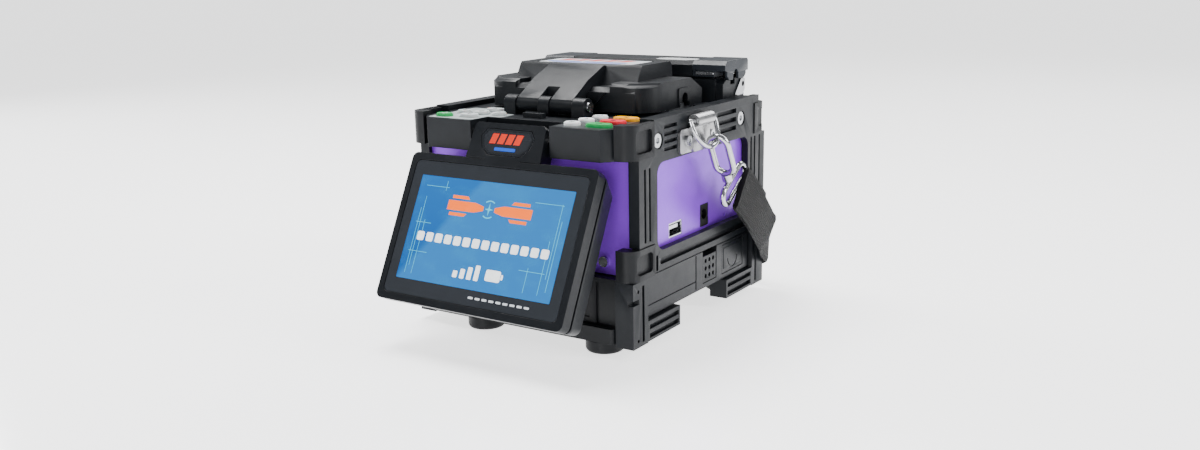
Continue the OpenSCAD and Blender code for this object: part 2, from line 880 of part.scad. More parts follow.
module wind_cover() {
    color(black) difference() {
        union() {
            // upper box with upright ends
            along_x(-cover_half, cover_half)
                polygon([[2.2, 124.6], [8, cover_top - 1.4], [9.4, cover_top],
                         [37.8, cover_top], [39.4, cover_top - 1.4], [40.8, 124.6]]);
            // lower body, with a tapered tongue on its front
            along_x(-44.6, 44.6)
                polygon([[-8.4, 113.6], [-8.4, 123.6], [-5.4, 126], [42.8, 126],
                         [44.6, 123], [44.6, 113.6]]);
            along_y(-9.6, -8.3)
                polygon([[-28, 123.8], [28, 123.8], [18.4, 114], [-18.4, 114]]);
            // cheeks, rounded at the front and chamfered at the back
            both_sides() intersection() {
                along_z(113.6, 129)
                    union() {
                        translate([cheek_half - 15, 6.6]) circle(15, $fn = fine);
                        span([30, -8.4], [cheek_half - 15, 48.2]);
                        span([30, 6.6], [cheek_half, 48.2]);
                    }
                along_x(29, cheek_half + 1)
                    polygon([[-10, 113], [-10, 126], [-5, 128.2], [36, 128.2], [48.2, 121.6],
                             [48.2, 113]]);
            }
            // raised frames around the fibre's ways in
            both_sides() along_x(cheek_half - 0.5, cheek_half + 0.7)
                rounded_span([fibre_y - 6.4, 113.6], [fibre_y + 6.4, 123.6], 1.6);
            hinge_plate();
        }
        // room over the splice chamber and the sheath clamps
        block([-36.6, -4.6, 112], [36.6, 41.4, 123.8]);
        along_x(-36.4, 36.4)
            polygon([[5.6, 123], [10.4, cover_top - cover_wall - 0.2],
                     [36.8, cover_top - cover_wall - 0.2], [38.2, 123]]);
        both_sides() along_x(36, cheek_half - 1.8)
            polygon([[10, 112], [10, 125], [38, 125], [46.4, 120.4], [46.4, 112]]);
        // keyholes for the fibre
        both_sides() along_x(cheek_half - 4, cheek_half + 2) {
            translate([fibre_y, 118.2]) circle(2.9);
            span([fibre_y - 2.9, 112], [fibre_y + 2.9, 118.2]);
            span([fibre_y - 5, 112], [fibre_y + 5, 116]);
        }
        // bed of the label
        along_z(cover_top - 0.8, cover_top + 1)
            rounded_span([-31, 11.4], [31, 36], 2);
        rod_x(-30, 30, cover_pin, cover_pin_r + fit);
        // scoop in the front upper edge of each cheek
        both_sides() translate([46, -5.2, 131.2]) rotate([0, 90, 38])
            cylinder(h = 34, r = 5, center = true);
    }
}

// the broad bowed plate that ends in the hinge's two barrels
module hinge_plate() {
    difference() {
        union() {
            along_x(-arm_half, arm_half)
                polygon([
                    [cover_pin[0] - 3.6, cover_pin[1] + 0.5], [cover_pin[0] - 2.6, 120.8],
                    [-16, 125.2], [-9, 129.6], [0, 133.2], [6.2, cover_top - 0.2],
                    [9, cover_top - 0.6], [9, 130], [4, 126], [-6, 125.4], [-9, 122.6],
                    [cover_pin[0] + 3.4, 116.4]
                ]);
            rod_x(-arm_half, arm_half, cover_pin, 3.9);
        }
        // gap for the deck's centre knuckle
        block([-3.9, -30, 110], [3.9, -14.5, 130]);
    }
}

module cover_label() {
    color("#d8dde2") along_z(cover_top - 0.8, cover_top - 0.2)
        rounded_span([-30.6, 11.8], [30.6, 35.6], 1.8);
}

// mirror and lamp that light the fibres from above
module cover_lamp() {
    color("#cfd6dc") {
        block([-12, 20, 133], [12, 34, 133.7]);
        block([-9, 22, 130.4], [9, 32, 133]);
    }
}

// ---- screen

module housing_outline(inset) {
    rounded_span([-housing_half + inset, housing_low + inset],
                 [housing_half - inset, housing_high - inset], 3.4);
}

module tab_outline() {
    polygon([[-tab_half[1], housing_high - 3], [-tab_half[1], housing_high],
             [-tab_half[0], tab_high - 1.6], [-tab_half[0] + 1.6, tab_high],
             [tab_half[0] - 1.6, tab_high], [tab_half[0], tab_high - 1.6],
             [tab_half[1], housing_high], [tab_half[1], housing_high - 3]]);
}

badge_mid = 47.6;

module badge_outline(grow) {
    polygon([[-16 - grow, badge_mid + 3], [-13.4 - grow, badge_mid + 6.4 + grow],
             [13.4 + grow, badge_mid + 6.4 + grow], [16 + grow, badge_mid + 3],
             [14 + grow, badge_mid - 3.4], [9.6 + grow, badge_mid - 6.6 - grow],
             [-9.6 - grow, badge_mid - 6.6 - grow], [-14 - grow, badge_mid - 3.4]]);
}

module screen_bezel() {
    color(black) on_screen() difference() {
        union() {
            along_z(-bezel_depth, 0) housing_outline(0);
            along_z(-tab_depth, 0) tab_outline();
            rod_x(-tab_half[0], tab_half[0], screen_pin, 4.6);
        }
        // bed of the glass and the opening behind it
        along_z(-1.6, 1) rounded_span([-53.8, -35.1], [53.8, 34.9], 3);
        along_z(-bezel_depth - 1, 0) rounded_span([-51.6, -32.8], [51.6, 32.6], 2);
        along_z(-1.2, 1) badge_outline(0.5);
        rod_x(-60, 60, screen_pin, screen_pin_r + fit);
        // shallow line that sets the arm off from the housing
        along_z(-0.5, 1) {
            span([-tab_half[1] - 2, housing_high - 0.4], [-11, housing_high + 0.2]);
            span([11, housing_high - 0.4], [tab_half[1] + 2, housing_high + 0.2]);
        }
    }
}

module screen_shell() {
    color(black) on_screen() difference() {
        union() {
            along_z(-bezel_depth - 1.6, -bezel_depth) housing_outline(1.6);
            hull() {
                along_z(-bezel_depth - 2.8, -bezel_depth - 1.6)
                    rounded_span([-housing_half + 0.2, housing_low + 0.2],
                                 [housing_half - 0.2, housing_high - 1], 3.4, $fn = blend_fn);
                along_z(-housing_depth, -housing_depth + 1)
                    rounded_span([-housing_half + 1.2, housing_low + 1],
                                 [housing_half - 1.2, housing_high - 5.4], 4, $fn = blend_fn);
            }
        }
        block([-52, -34, -housing_depth + 2.2], [52, 29, -bezel_depth + 1]);
        // relief under the arm
        block([-26, 27.4, -20], [26, 40, -bezel_depth - 2.9]);
        block([-23.5, 35.3, -9.5], [23.5, 40, -bezel_depth + 0.1]);
    }
}

module screen_glass() {
    color("#3b3f45", 0.5) on_screen()
        along_z(-1.5, -0.25) rounded_span([-53.5, -34.8], [53.5, 34.6], 2.8);
}

module lcd_panel() {
    color("#1f66a8") on_screen()
        along_z(-5, -1.6) rounded_span([-50.6, -31.6], [50.6, 31.6], 1);
}

module screen_badge() {
    color("#2c3036") on_screen()
        along_z(-1.15, -0.1) badge_outline(0.1);
}

// ---- battery

module battery_case() {
    color("#4a4e53") difference() {
        union() {
            block([battery_face - battery_length, battery_front, battery_low],
                  [battery_face - 2, battery_back, battery_top]);
            along_x(battery_face - 3, battery_face)
                rounded_span([battery_front - 0.6, battery_low - 0.1],
                             [battery_back + 0.6, battery_top - 0.3], 1);
        }
        // space for the cells
        block([battery_face - battery_length + 2, battery_front + 2, battery_low + 1.8],
              [battery_face - 14, battery_back - 2, battery_top - 1.8]);
        // outline of the face's panel and the seam across it
        along_x(battery_face - 0.6, battery_face + 1) {
            span([16.6, battery_low + 1], [17.6, battery_top - 1]);
            span([battery_front, 22.4], [16.6, 23]);
        }
        // beds of the latch and the button
        block([battery_face - 6, 24.6, battery_low + 2.4],
              [battery_face + 1, 40.4, battery_top + 1]);
        block([battery_face - 7, 46.6, battery_low + 2.4],
              [battery_face + 1, 72.4, battery_top - 1.6]);
    }
}

module battery_cells() {
    color("#3f6ea5")
        for (i = [0:2])
            block([battery_face - battery_length + 3, battery_front + 3 + i * 35, battery_low + 2.2],
                  [battery_face - 16, battery_front + 36.6 + i * 35, battery_top - 2.2]);
}

// a thumb slide with nine grip dots
module latch_slider() {
    color(black) difference() {
        block([battery_face - 5.6, 25, battery_low + 2.8],
              [battery_face - 0.2, 40, battery_top - 3.4]);
        for (i = [-1:1], j = [-1:1])
            rod_x(battery_face - 1.2, battery_face, [32.5 + i * 4.2, 27.2 + j * 4.2], 1.2);
    }
}

module release_button() {
    color(black) difference() {
        union() {
            block([battery_face - 4, 47, battery_low + 2.8],
                  [battery_face - 0.2, 72, battery_top - 2]);
            block([battery_face - 3, 49, battery_low + 5], [battery_face, 70, battery_top - 4]);
        }
        along_x(battery_face - 0.5, battery_face + 1)
            difference() {
                translate([59.5, 27]) circle(6);
                translate([59.5, 27]) circle(5.2);
                span([50, 27], [70, 34]);
            }
    }
}

// ---- strap and its fittings

module strap_brackets() {
    color(steel) both_sides() difference() {
        union() {
            along_x(half, half + 1.3)
                rounded_span([bracket_y - 19.2, 94.4], [bracket_y + 19.2, 106.6], 2);
            // raised middle that wraps the D ring's straight side
            along_x(half + 1.2, half + 3)
                rounded_span([bracket_y - 8.8, 94.4], [bracket_y + 8.8, 109], 1.5);
            rod_y(bracket_y - 8.8, bracket_y + 8.8, [ring_x, ring_z], 3.2);
        }
        rod_y(bracket_y - 11, bracket_y + 11, [ring_x, ring_z], ring_wire / 2 + 0.15);
        for (s = [-1, 1])
            rod_x(half - 1, half + 5, [bracket_y + s * bracket_screw, bracket_screw_z], 1.6);
    }
}

// half a ring of round wire in the plane across X, bowed down or up
module half_ring(radius, r, down = true) {
    rotate([0, 90, 0]) rotate([0, 0, down ? -90 : 90])
        rotate_extrude(angle = 180) translate([radius, 0]) circle(r, $fn = 24);
}

// D ring: a straight side in the bracket, and a bow that hangs below it
module d_ring() {
    r = ring_wire / 2;
    translate([ring_x, bracket_y, ring_z]) rotate([0, -ring_lean, 0]) {
        rod_y(-ring_half, ring_half, [0, 0], r);
        for (s = [-1, 1]) {
            translate([0, s * ring_half, -ring_drop]) cylinder(h = ring_drop, r = r);
            translate([0, s * ring_half, 0]) sphere(r);
        }
        translate([0, 0, -ring_drop]) half_ring(ring_half, r);
    }
}

module d_rings() {
    color(steel) both_sides() d_ring();
}

// swivel hook: a long bow whose plane lies along X, and its swivel post
module hook_bow() {
    for (s = [-1, 1])
        translate([s * hook_half, 0, 0]) cylinder(h = hook_run, r = hook_wire);
    translate([0, 0, hook_run]) rotate([90, 0, 0])
        rotate_extrude(angle = 180) translate([hook_half, 0]) circle(hook_wire, $fn = 24);
    rotate([-90, 0, 0])
        rotate_extrude(angle = 180) translate([hook_half, 0]) circle(hook_wire, $fn = 24);
    translate([0, 0, -hook_half - 4.4]) cylinder(h = 4.2, r = 2.8);
}

// flat eye that the webbing is sewn around
module webbing_eye() {
    for (z = [0, eye_rise])
        rod_y(-eye_half, eye_half, [0, z], eye_wire);
    for (side = [0, 1])
        mirror([0, side, 0]) translate([0, eye_half, eye_rise / 2]) rotate([0, 90, 0])
            rotate_extrude(angle = 180) translate([eye_rise / 2, 0]) circle(eye_wire, $fn = 24);
}

module snap_hooks() {
    color(steel) both_sides() {
        translate(hook_at) rotate([hook_lean, 0, 0]) hook_bow();
        translate(eye_at) rotate([eye_lean, 0, 0]) webbing_eye();
    }
}

// Webbing: its middle line from the right-hand eye to the middle of its run on the
// surface behind the machine, each with the direction of its width. The left half
// mirrors it.
HALF_WEB = [
    [[81.6, 36, 71.6], [0, 8, 5]],
    [[81.4, 44, 65.6], [0, 8, 5]],
    [[81.1, 52, 59.4], [0, 8, 5]],
    [[80.4, 60, 53.2], [0, 8, 5]],
    [[79.4, 68, 46.8], [0, 8, 5]],
    [[78.2, 76, 40.4], [0, 8, 5]],
    [[76.8, 83, 35], [0, 8, 5]],
    [[73, 91, 30.5], [-2, 7, 7]],
    [[68, 99.5, 27], [-2, 4, 9]],
    [[56, 103, 22], [-2, 2, 9]],
    [[44, 107, 16], [-1, 3, 9]],
    [[32, 110.5, 12.4], [0, 5, 8]],
    [[20, 113.5, 8.4], [0, 8, 5]],
    [[10, 115.3, 4.4], [0, 9, 2]]
];

function flip(v) = [-v[0], v[1], v[2]];
function unit(v) = v / norm(v);

WEB = concat(
    HALF_WEB,
    [[[0, 116, 1.4], [0, 1, 0]]],
    [for (i = [len(HALF_WEB) - 1:-1:0]) [flip(HALF_WEB[i][0]), flip(HALF_WEB[i][1])]]
);

function web_run(i) =
    unit(WEB[min(i + 1, len(WEB) - 1)][0] - WEB[max(i - 1, 0)][0]);
function web_side(i) = let (w = WEB[i][1], t = web_run(i)) unit(w - (w * t) * t);

// the four corners of the webbing's section at one point of its route
function web_section(i) =
    let (c = WEB[i][0], w = web_side(i) * strap_width / 2,
         n = cross(web_run(i), web_side(i)) * strap_thick / 2)
    [c + w + n, c - w + n, c - w - n, c + w - n];

module strap() {
    last = len(WEB) - 1;
    color("#0f1012") polyhedron(
        points = [for (i = [0:last]) each web_section(i)],
        faces = concat(
            [[3, 2, 1, 0]],
            [for (i = [0:last - 1], k = [0:3])
                each let (a = 4 * i + k, b = 4 * i + (k + 1) % 4)
                [[a, b, b + 4], [a, b + 4, a + 4]]],
            [[4 * last, 4 * last + 1, 4 * last + 2, 4 * last + 3]]
        ));
}

base_tray();
front_panel();
rear_panel();
side_panel_right();
side_panel_left();
deck_cover();
guard_right();
guard_left();
corner_bumpers();
guard_screws();
panel_screws();
feet();
tripod_insert();
keypad_sheets();
main_board();
arc_transformer();
align_motors();
camera_barrels();
usb_socket();
power_socket();
splice_block();
v_grooves();
electrodes();
electrode_clamps();
heater_base();
heater_plate();
hinge_pins();
strap_brackets();
d_rings();
snap_hooks();
strap();
screen_bezel();
screen_shell();
screen_glass();
lcd_panel();
screen_badge();
wind_cover();
cover_label();
cover_lamp();
sheath_clamp_right();
sheath_clamp_left();
heater_lid();
heater_window();
heater_caps();
battery_case();
battery_cells();
release_button();
latch_slider();
key_power();
key_up();
key_down();
key_left();
key_right();
key_enter();
key_menu();
key_back();
key_reset();
key_arc();
key_stop();
key_heat();
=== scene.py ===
import json
import math
import bmesh
import bpy
from mathutils import Matrix, Vector

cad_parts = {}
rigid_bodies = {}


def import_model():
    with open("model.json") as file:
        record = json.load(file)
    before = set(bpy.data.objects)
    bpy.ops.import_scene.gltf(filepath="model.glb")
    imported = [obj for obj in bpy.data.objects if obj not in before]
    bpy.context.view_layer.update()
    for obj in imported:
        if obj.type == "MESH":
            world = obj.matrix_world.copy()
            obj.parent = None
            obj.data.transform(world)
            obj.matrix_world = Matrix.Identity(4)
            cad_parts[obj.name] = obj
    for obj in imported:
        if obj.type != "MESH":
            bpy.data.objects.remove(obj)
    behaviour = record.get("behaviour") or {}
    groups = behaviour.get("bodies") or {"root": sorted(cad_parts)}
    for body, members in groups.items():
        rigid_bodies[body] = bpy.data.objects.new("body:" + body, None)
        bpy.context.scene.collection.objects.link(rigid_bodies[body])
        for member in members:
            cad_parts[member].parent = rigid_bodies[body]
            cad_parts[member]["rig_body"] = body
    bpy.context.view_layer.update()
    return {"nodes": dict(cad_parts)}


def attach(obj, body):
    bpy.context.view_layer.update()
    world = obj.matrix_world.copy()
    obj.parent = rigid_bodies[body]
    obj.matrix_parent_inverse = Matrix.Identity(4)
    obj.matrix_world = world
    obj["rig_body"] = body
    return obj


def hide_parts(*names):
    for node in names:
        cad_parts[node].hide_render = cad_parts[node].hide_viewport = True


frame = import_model()
mm = 0.001
nodes = frame["nodes"]
print("frame loaded:", len(nodes), "nodes")

# camera, low and to the right of the screen, looking a little down
cameraSetup = {
    "place": (338.0, -485.1, 187.7),  # millimetres
    "turn": 33.49, "down": 13.18, "roll": -1.06,  # degrees
    "lens": 33.52, "film": 36, "nearest": 0.02,
}


def addCamera(setup):
    turn, down, roll = (math.radians(setup[key]) for key in ("turn", "down", "roll"))
    ahead = Vector((-math.sin(turn) * math.cos(down), math.cos(turn) * math.cos(down), -math.sin(down)))
    side = Vector((math.cos(turn), math.sin(turn), 0))
    up = side.cross(ahead)
    right = side * math.cos(roll) + up * math.sin(roll)
    top = up * math.cos(roll) - side * math.sin(roll)
    camera = bpy.data.objects.new("camera", bpy.data.cameras.new("camera"))
    camera.data.lens = setup["lens"]
    camera.data.sensor_width = setup["film"]
    camera.data.clip_start = setup["nearest"]
    camera.matrix_world = Matrix((
        (right.x, top.x, -ahead.x, setup["place"][0] * mm),
        (right.y, top.y, -ahead.y, setup["place"][1] * mm),
        (right.z, top.z, -ahead.z, setup["place"][2] * mm),
        (0, 0, 0, 1)))
    bpy.context.scene.collection.objects.link(camera)
    bpy.context.scene.camera = camera


addCamera(cameraSetup)


# small helpers for nodes and meshes
def newMaterial(name):
    material = bpy.data.materials.new(name)
    material.use_nodes = True
    tree = material.node_tree
    return material, tree, tree.nodes["Principled BSDF"]


def addNode(tree, kind, inputs=(), **settings):
    node = tree.nodes.new(kind)
    for key, value in settings.items():
        setattr(node, key, value)
    for key, value in dict(inputs).items():
        if isinstance(value, bpy.types.NodeSocket):
            tree.links.new(value, node.inputs[key])
        else:
            node.inputs[key].default_value = value
    return node


def noiseAt(tree, scale, detail=3.0, roughness=0.5, stretch=None):
    where = addNode(tree, "ShaderNodeTexCoord").outputs["Object"]
    if stretch:
        where = addNode(tree, "ShaderNodeMapping", {"Vector": where, "Scale": stretch}).outputs[0]
    return addNode(tree, "ShaderNodeTexNoise", {
        "Vector": where, "Scale": scale, "Detail": detail, "Roughness": roughness}).outputs["Fac"]


def spread(tree, value, low, high, fromLow=0.3, fromHigh=0.7):
    return addNode(tree, "ShaderNodeMapRange", {
        "Value": value, "From Min": fromLow, "From Max": fromHigh,
        "To Min": low, "To Max": high}).outputs[0]


def blendColours(tree, factor, first, second):
    node = addNode(tree, "ShaderNodeMix", data_type="RGBA")
    for key, value in (("Factor", factor), ("A", first), ("B", second)):
        sockets = [s for s in node.inputs if s.name == key and s.enabled]
        if isinstance(value, bpy.types.NodeSocket):
            tree.links.new(value, sockets[0])
        else:
            sockets[0].default_value = value if key == "Factor" else (*value, 1)
    return [s for s in node.outputs if s.enabled][0]


def mathNode(tree, operation, first, second):
    return addNode(tree, "ShaderNodeMath", {0: first, 1: second}, operation=operation).outputs[0]


def bumpFrom(tree, height, strength, distance):
    return addNode(tree, "ShaderNodeBump", {
        "Height": height, "Strength": strength, "Distance": distance}).outputs[0]


def mouldedPlastic(name, colour, worn, rough, grain=2600, bump=0.25):
    # satin moulding: fine grain and faint paler blotches
    material, tree, shader = newMaterial(name)
    shader.inputs["Specular IOR Level"].default_value = 0.17
    blotches = noiseAt(tree, 38, 4, 0.6)
    fineGrain = noiseAt(tree, grain, 2, 0.6)
    tree.links.new(blendColours(tree, spread(tree, blotches, 0, 1), colour, worn),
                   shader.inputs["Base Color"])
    tree.links.new(spread(tree, noiseAt(tree, 120, 4, 0.7), *rough), shader.inputs["Roughness"])
    tree.links.new(bumpFrom(tree, fineGrain, bump, 0.00012), shader.inputs["Normal"])
    return material


def brushedMetal(name, colour, rough=(0.16, 0.3), stretch=(1, 1, 30), scale=260, bump=0.06):
    material, tree, shader = newMaterial(name)
    shader.inputs["Metallic"].default_value = 1.0
    lines = noiseAt(tree, scale, 3, 0.6, stretch)
    darker = tuple(c * 0.82 for c in colour)
    tree.links.new(blendColours(tree, spread(tree, lines, 0, 1), colour, darker),
                   shader.inputs["Base Color"])
    tree.links.new(spread(tree, noiseAt(tree, 420, 3), *rough), shader.inputs["Roughness"])
    tree.links.new(bumpFrom(tree, lines, bump, 0.0001), shader.inputs["Normal"])
    return material


# each plastic: its colour, its paler blotches, least and greatest roughness, then grain and bump
charcoal = mouldedPlastic(
    "charcoalPlastic", (0.0052, 0.0064, 0.0082), (0.0086, 0.0102, 0.0126), (0.30, 0.44))
coverBlack = mouldedPlastic(
    "coverBlack", (0.0050, 0.0061, 0.0078), (0.0084, 0.0099, 0.0122), (0.34, 0.48), 2200, 0.35)
bumperRubber = mouldedPlastic(
    "bumperRubber", (0.0042, 0.0048, 0.0060), (0.0070, 0.0080, 0.0096), (0.36, 0.5), 1500, 0.4)
baseBlack = mouldedPlastic(
    "baseBlack", (0.0044, 0.0051, 0.0063), (0.0074, 0.0085, 0.0102), (0.32, 0.46))
slatePlastic = mouldedPlastic(
    "slatePlastic", (0.0125, 0.0155, 0.0200), (0.0190, 0.0228, 0.0286), (0.26, 0.38))
batteryGrey = mouldedPlastic(
    "batteryGrey", (0.0072, 0.0084, 0.0104), (0.0118, 0.0134, 0.0160), (0.30, 0.42))
bezelPlastic = mouldedPlastic(
    "bezelPlastic", (0.0048, 0.0058, 0.0074), (0.0080, 0.0094, 0.0116), (0.30, 0.42), 2600, 0.2)
socketBlack = mouldedPlastic(
    "socketBlack", (0.0030, 0.0030, 0.0034), (0.0050, 0.0050, 0.0056), (0.35, 0.5))
brightSteel = brushedMetal("brightSteel", (0.56, 0.57, 0.59))
chrome = brushedMetal("chrome", (0.46, 0.465, 0.48), (0.10, 0.20), (1, 1, 1), 90, 0.02)
bracketSteel = brushedMetal("bracketSteel", (0.40, 0.40, 0.405), (0.26, 0.38), (1, 1, 12), 200, 0.08)
brassInsert = brushedMetal("brassInsert", (0.62, 0.44, 0.18))
stageMetal = brushedMetal("stageMetal", (0.46, 0.48, 0.51), (0.28, 0.42), (30, 1, 1))
blackAnodised = brushedMetal("blackAnodised", (0.05, 0.05, 0.055), (0.3, 0.42))
tungsten = brushedMetal("tungsten", (0.4, 0.41, 0.43))


def purplePaint():
    # satin metallic lacquer with a fine flake
    material, tree, shader = newMaterial("purplePaint")
    flake = noiseAt(tree, 5200, 1, 0.5)
    cloud = noiseAt(tree, 16, 3, 0.5)
    deep = blendColours(tree, spread(tree, cloud, 0, 1), (0.205, 0.036, 0.600), (0.240, 0.050, 0.680))
    lively = blendColours(tree, spread(tree, flake, 0, 0.22, 0.45, 0.75), deep, (0.42, 0.15, 0.90))
    tree.links.new(lively, shader.inputs["Base Color"])
    shader.inputs["Metallic"].default_value = 0.35
    shader.inputs["Specular IOR Level"].default_value = 0.25
    tree.links.new(spread(tree, noiseAt(tree, 210, 3), 0.30, 0.42), shader.inputs["Roughness"])
    shader.inputs["Coat Weight"].default_value = 0.12
    shader.inputs["Coat Roughness"].default_value = 0.18
    tree.links.new(bumpFrom(tree, flake, 0.05, 0.0001), shader.inputs["Normal"])
    return material


def silicone(name, colour):
    material, tree, shader = newMaterial(name)
    lighter = tuple(min(1, c * 1.18 + 0.01) for c in colour)
    tree.links.new(blendColours(tree, spread(tree, noiseAt(tree, 300, 3), 0, 1), colour, lighter),
                   shader.inputs["Base Color"])
    tree.links.new(spread(tree, noiseAt(tree, 700, 2), 0.34, 0.46), shader.inputs["Roughness"])
    tree.links.new(bumpFrom(tree, noiseAt(tree, 2400, 2), 0.12, 0.0001), shader.inputs["Normal"])
    shader.inputs["Specular IOR Level"].default_value = 0.22
    shader.inputs["Subsurface Weight"].default_value = 0.06
    shader.inputs["Subsurface Scale"].default_value = 0.002
    return material


def glossy(name, colour, rough, coat=0.0):
    material, tree, shader = newMaterial(name)
    darker = tuple(c * 0.9 for c in colour)
    tree.links.new(blendColours(tree, spread(tree, noiseAt(tree, 60, 2), 0, 1), colour, darker),
                   shader.inputs["Base Color"])
    tree.links.new(spread(tree, noiseAt(tree, 500, 4), *rough), shader.inputs["Roughness"])
    shader.inputs["Specular IOR Level"].default_value = 0.3
    shader.inputs["Coat Weight"].default_value = coat
    return material


purple = purplePaint()
greenKey = silicone("greenKey", (0.010, 0.310, 0.075))
redKey = silicone("redKey", (0.680, 0.022, 0.045))
amberKey = silicone("amberKey", (0.850, 0.380, 0.004))
whiteKey = silicone("whiteKey", (0.80, 0.82, 0.83))
greyKey = silicone("greyKey", (0.46, 0.49, 0.49))
boardGreen = glossy("boardGreen", (0.012, 0.09, 0.04), (0.25, 0.4))
pottingAmber = glossy("pottingAmber", (0.25, 0.15, 0.04), (0.2, 0.3))
ceramicWhite = glossy("ceramicWhite", (0.80, 0.79, 0.75), (0.15, 0.25))
cellBlue = glossy("cellBlue", (0.05, 0.15, 0.34), (0.25, 0.35))
lampWhite = glossy("lampWhite", (0.75, 0.78, 0.80), (0.1, 0.2))
# the heater window's pale colour is a painted reflection; the window itself is dark glossy glass
heaterWindowPaintedReflection = glossy("heaterWindowPaintedReflection", (0.80, 0.82, 0.83), (0.1, 0.2))
borderGlass = glossy("borderGlass", (0.021, 0.024, 0.029), (0.09, 0.15))
badgeGloss = glossy("badgeGloss", (0.014, 0.016, 0.020), (0.14, 0.22), coat=0.4)


def keySheetMaterial():
    # pale film on the left-hand pad, dark film on the right-hand one
    material, tree, shader = newMaterial("keySheet")
    where = addNode(tree, "ShaderNodeTexCoord").outputs["Object"]
    across = addNode(tree, "ShaderNodeSeparateXYZ", {0: where}).outputs["X"]
    side = spread(tree, across, 0, 1, -0.001, 0.001)
    cloud = spread(tree, noiseAt(tree, 260, 3), 0, 1)
    pale = blendColours(tree, cloud, (0.34, 0.38, 0.38), (0.40, 0.44, 0.44))
    tree.links.new(blendColours(tree, side, pale, (0.020, 0.023, 0.027)), shader.inputs["Base Color"])
    shader.inputs["Roughness"].default_value = 0.34
    return material


def litPicture():
    # deep blue field with a paler slanted band and faint traces, lit from behind
    material, tree, shader = newMaterial("litPicture")
    uv = addNode(tree, "ShaderNodeUVMap").outputs[0]
    parts = addNode(tree, "ShaderNodeSeparateXYZ", {0: uv})
    slant = mathNode(tree, "MULTIPLY", parts.outputs["Y"], 0.42)
    band = spread(tree, mathNode(tree, "SUBTRACT", parts.outputs["X"], slant), 0, 1, -0.03, 0.02)
    field = blendColours(tree, parts.outputs["Y"], (0.004, 0.062, 0.235), (0.008, 0.088, 0.285))
    field = blendColours(tree, band, field, (0.014, 0.120, 0.330))
    stretched = addNode(tree, "ShaderNodeMapping", {"Vector": uv, "Scale": (34, 22, 1)}).outputs[0]
    traces = addNode(tree, "ShaderNodeTexBrick", {
        "Vector": stretched, "Scale": 1.0, "Mortar Size": 0.02, "Mortar Smooth": 0.0,
        "Color1": (0, 0, 0, 1), "Color2": (0, 0, 0, 1), "Mortar": (1, 1, 1, 1)},
        offset=0.37, squash=1.7, squash_frequency=3).outputs["Fac"]
    patches = addNode(tree, "ShaderNodeTexNoise", {
        "Vector": uv, "Scale": 5.0, "Detail": 3.0}).outputs["Fac"]
    patchy = mathNode(tree, "MULTIPLY", traces, spread(tree, patches, 0, 0.55, 0.48, 0.66))
    field = blendColours(tree, patchy, field, (0.03, 0.26, 0.44))
    tree.links.new(field, shader.inputs["Base Color"])
    tree.links.new(field, shader.inputs["Emission Color"])
    shader.inputs["Emission Strength"].default_value = 0.5
    shader.inputs["Roughness"].default_value = 0.22
    shader.inputs["Specular IOR Level"].default_value = 0.15
    return material


def litMark(name, colour, glow=0.7):
    material, tree, shader = newMaterial(name)
    darker = tuple(c * 0.93 for c in colour)
    tint = blendColours(tree, spread(tree, noiseAt(tree, 150, 2), 0, 1), colour, darker)
    tree.links.new(tint, shader.inputs["Base Color"])
    tree.links.new(tint, shader.inputs["Emission Color"])
    shader.inputs["Emission Strength"].default_value = glow
    shader.inputs["Specular IOR Level"].default_value = 0.15
    shader.inputs["Roughness"].default_value = 0.3
    return material


keySheet = keySheetMaterial()
screenPicture = litPicture()
orangeMark = litMark("orangeMark", (0.86, 0.130, 0.006))
whiteMark = litMark("whiteMark", (0.82, 0.85, 0.86), 0.6)
cyanMark = litMark("cyanMark", (0.05, 0.46, 0.62), 0.5)
# red and blue print inks glow faintly: a painted glow, since printed ink is no lamp
redInkPaintedGlow = litMark("redInkPaintedGlow", (0.62, 0.035, 0.015), 0.12)
blueInkPaintedGlow = litMark("blueInkPaintedGlow", (0.015, 0.085, 0.50), 0.12)
whiteInk = litMark("whiteInk", (0.62, 0.65, 0.68), 0.0)
darkInk = litMark("darkInk", (0.02, 0.022, 0.025), 0.0)
print("materials made")


def setFinish(piece, material):
    piece.data.materials.clear()
    piece.data.materials.append(material)
    for face in piece.data.polygons:
        face.material_index = 0


def smoothByAngle(piece, degrees):
    for face in piece.data.polygons:
        face.use_smooth = True
    piece.data.set_sharp_from_angle(angle=math.radians(degrees))


def pieceFrom(name, mesh, body, material):
    piece = bpy.data.objects.new(name, mesh)
    bpy.context.scene.collection.objects.link(piece)
    setFinish(piece, material)
    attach(piece, body)
    return piece


def finishedMesh(name, bm):
    mesh = bpy.data.meshes.new(name)
    bm.normal_update()
    bm.to_mesh(mesh)
    bm.free()
    return mesh


def addEdgeRadius(piece, radius, fromAngle=28):
    bevel = piece.modifiers.new("edgeRadius", "BEVEL")
    bevel.width = radius * mm
    bevel.segments = 2
    bevel.limit_method = "ANGLE"
    bevel.angle_limit = math.radians(fromAngle)
    smoothByAngle(piece, 34)


# a copy of a part with the moulding's small edge radius, which stands for the plain part
def softenedPart(node, material, radius):
    bm = bmesh.new()
    bm.from_mesh(nodes[node].data)
    bmesh.ops.remove_doubles(bm, verts=bm.verts, dist=0.004 * mm)
    bmesh.ops.dissolve_limit(bm, angle_limit=math.radians(0.6), verts=bm.verts, edges=bm.edges)
    name = node + "_finished"
    piece = pieceFrom(name, finishedMesh(name, bm), nodes[node]["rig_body"], material)
    addEdgeRadius(piece, radius)
    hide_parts(node)


